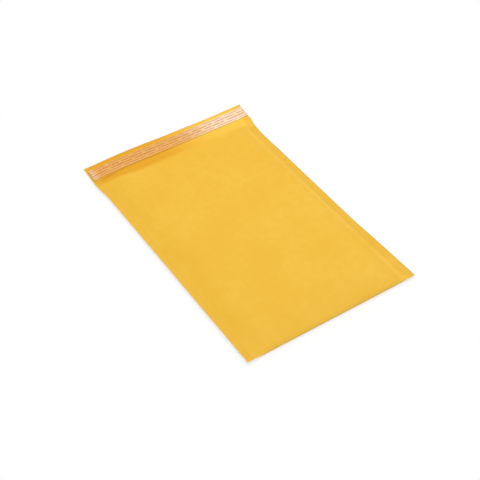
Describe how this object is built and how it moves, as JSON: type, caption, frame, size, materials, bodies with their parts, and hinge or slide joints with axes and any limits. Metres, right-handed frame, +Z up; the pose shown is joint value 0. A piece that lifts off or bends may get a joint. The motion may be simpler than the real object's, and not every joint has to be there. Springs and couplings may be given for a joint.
{
  "type": "bubble mailer",
  "caption": "Padded kraft envelope with sealed side seams, bubble lining, open mouth and a closing flap with a release strip over its adhesive.",
  "frame": {"origin": "middle of the mailer's footprint, on the surface it lies on", "axes": "+Y from the bottom fold to the mouth and flap, +X across to the right side seam, +Z up through the front panel"},
  "size_m": [0.2438, 0.397, 0.011],
  "materials": {
    "kraft_paper": "golden kraft paper, matte, faint fibre",
    "bubble_film": "clear polyethylene bubble film",
    "hot_melt": "tacky amber adhesive band",
    "release_paper": "pale peach siliconised paper with plain red dashes"
  },
  "bodies": {
    "root": {"kraft_envelope": "kraft_paper", "bubble_liner": "bubble_film", "adhesive_band": "hot_melt", "release_strip": "release_paper"}
  },
  "joints": []
}
